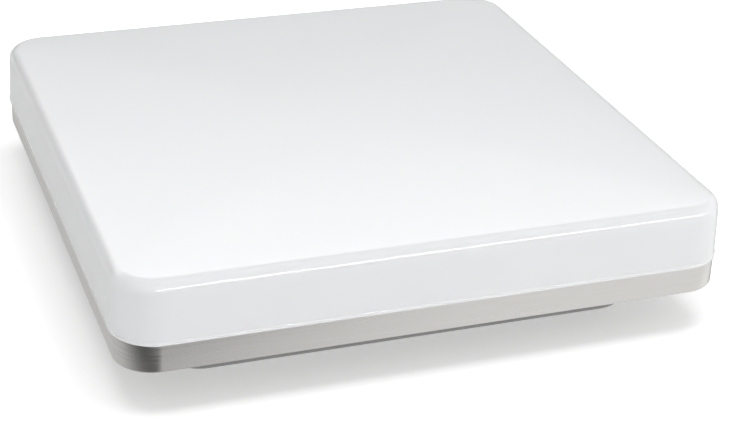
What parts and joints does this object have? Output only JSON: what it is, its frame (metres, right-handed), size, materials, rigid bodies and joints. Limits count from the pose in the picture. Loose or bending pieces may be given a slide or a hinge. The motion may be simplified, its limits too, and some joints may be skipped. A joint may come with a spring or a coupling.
{
  "type": "square led ceiling light",
  "caption": "Square surface-mounted ceiling light: shallow opal cover with rounded corners on a brushed metal frame, over an inset mounting pan.",
  "frame": {"origin": "centre of the flat back of the mounting pan, which lies on the ceiling", "axes": "+Z out of the light's face, away from the ceiling; +X along the side that the keyhole slots run along; +Y towards the driver"},
  "size_m": [0.3024, 0.3024, 0.069],
  "materials": {
    "satin_nickel": "fine brushed satin nickel, brushed along each side",
    "white_paint": "smooth white powder coat",
    "grey_paint": "smooth mid-grey powder coat",
    "opal_acrylic": "glossy, milky and slightly translucent",
    "zinc_steel": "bright zinc plate",
    "spring_steel": "bare rolled spring strip",
    "grey_rubber": "matt moulded rubber",
    "white_plastic": "fine moulded texture",
    "orange_plastic": "satin moulded plastic",
    "led_board": "white solder mask with pale yellow LED faces",
    "circuit_board": "green solder mask",
    "ferrite": "dark ferrite with taped winding",
    "capacitor_sleeve": "shrunk sleeve",
    "tinned_brass": "tinned brass",
    "brown_insulation": "smooth insulation",
    "blue_insulation": "smooth insulation",
    "green_insulation": "green insulation with a yellow stripe",
    "white_insulation": "smooth insulation"
  },
  "bodies": {
    "housing": {"mounting_pan": "grey_paint", "trim_frame": "satin_nickel", "cable_grommet": "grey_rubber", "driver_case": "white_plastic", "driver_lid": "white_plastic", "driver_board": "circuit_board", "driver_transformer": "ferrite", "driver_input_capacitor": "capacitor_sleeve", "driver_output_capacitor": "capacitor_sleeve", "terminal_block": "white_plastic", "earth_tag": "tinned_brass", "earth_screw": "zinc_steel", "earth_lead": "green_insulation", "neutral_lead": "blue_insulation", "live_lead": "brown_insulation", "led_lead": "white_insulation", "frame_rivet_1": "zinc_steel", "tray_post_1": "zinc_steel", "frame_rivet_2": "zinc_steel", "tray_post_2": "zinc_steel", "frame_rivet_3": "zinc_steel", "tray_post_3": "zinc_steel", "frame_rivet_4": "zinc_steel", "tray_post_4": "zinc_steel", "driver_screw_1": "zinc_steel", "driver_screw_2": "zinc_steel"},
    "tray": {"led_tray": "white_paint", "led_board_1": "led_board", "led_board_2": "led_board", "led_board_3": "led_board", "led_board_4": "led_board", "board_screw_1": "zinc_steel", "board_screw_2": "zinc_steel", "board_screw_3": "zinc_steel", "board_screw_4": "zinc_steel", "board_screw_5": "zinc_steel", "board_screw_6": "zinc_steel", "board_screw_7": "zinc_steel", "board_screw_8": "zinc_steel", "tray_screw_1": "zinc_steel", "tray_screw_2": "zinc_steel", "tray_screw_3": "zinc_steel", "tray_screw_4": "zinc_steel", "board_link_1": "white_insulation", "board_link_2": "white_insulation", "board_link_3": "white_insulation", "feed_lead": "white_insulation", "tray_grommet": "grey_rubber"},
    "cover": {"diffuser_cover": "opal_acrylic"},
    "clip_1": {"cover_clip_1": "spring_steel"},
    "clip_2": {"cover_clip_2": "spring_steel"},
    "clip_3": {"cover_clip_3": "spring_steel"},
    "clip_4": {"cover_clip_4": "spring_steel"},
    "button_earth": {"release_button_earth": "orange_plastic"},
    "button_neutral": {"release_button_neutral": "orange_plastic"},
    "button_live": {"release_button_live": "orange_plastic"}
  },
  "joints": [
    {"name": "tray_lift", "type": "slide", "parent": "housing", "child": "tray", "axis": [0, 0, 1], "range_m": [0, 0.05]},
    {"name": "cover_lift", "type": "slide", "parent": "tray", "child": "cover", "axis": [0, 0, 1], "range_m": [0, 0.05]},
    {"name": "clip_flex_1", "type": "hinge", "parent": "tray", "child": "clip_1", "pos_m": [0, 0.14595, 0.0384], "axis": [1, 0, 0], "range_deg": [0, 6], "stiffness_Nm_per_rad": 0.1, "springref_deg": -2.86},
    {"name": "clip_flex_2", "type": "hinge", "parent": "tray", "child": "clip_2", "pos_m": [-0.14595, 0, 0.0384], "axis": [0, 1, 0], "range_deg": [0, 6], "stiffness_Nm_per_rad": 0.1, "springref_deg": -2.86},
    {"name": "clip_flex_3", "type": "hinge", "parent": "tray", "child": "clip_3", "pos_m": [0, -0.14595, 0.0384], "axis": [-1, 0, 0], "range_deg": [0, 6], "stiffness_Nm_per_rad": 0.1, "springref_deg": -2.86},
    {"name": "clip_flex_4", "type": "hinge", "parent": "tray", "child": "clip_4", "pos_m": [0.14595, 0, 0.0384], "axis": [0, -1, 0], "range_deg": [0, 6], "stiffness_Nm_per_rad": 0.1, "springref_deg": -2.86},
    {"name": "press_earth", "type": "slide", "parent": "housing", "child": "button_earth", "axis": [0, 0, -1], "range_m": [0, 0.0015], "stiffness_N_per_m": 800, "springref_m": -0.002},
    {"name": "press_neutral", "type": "slide", "parent": "housing", "child": "button_neutral", "axis": [0, 0, -1], "range_m": [0, 0.0015], "stiffness_N_per_m": 800, "springref_m": -0.002},
    {"name": "press_live", "type": "slide", "parent": "housing", "child": "button_live", "axis": [0, 0, -1], "range_m": [0, 0.0015], "stiffness_N_per_m": 800, "springref_m": -0.002}
  ]
}
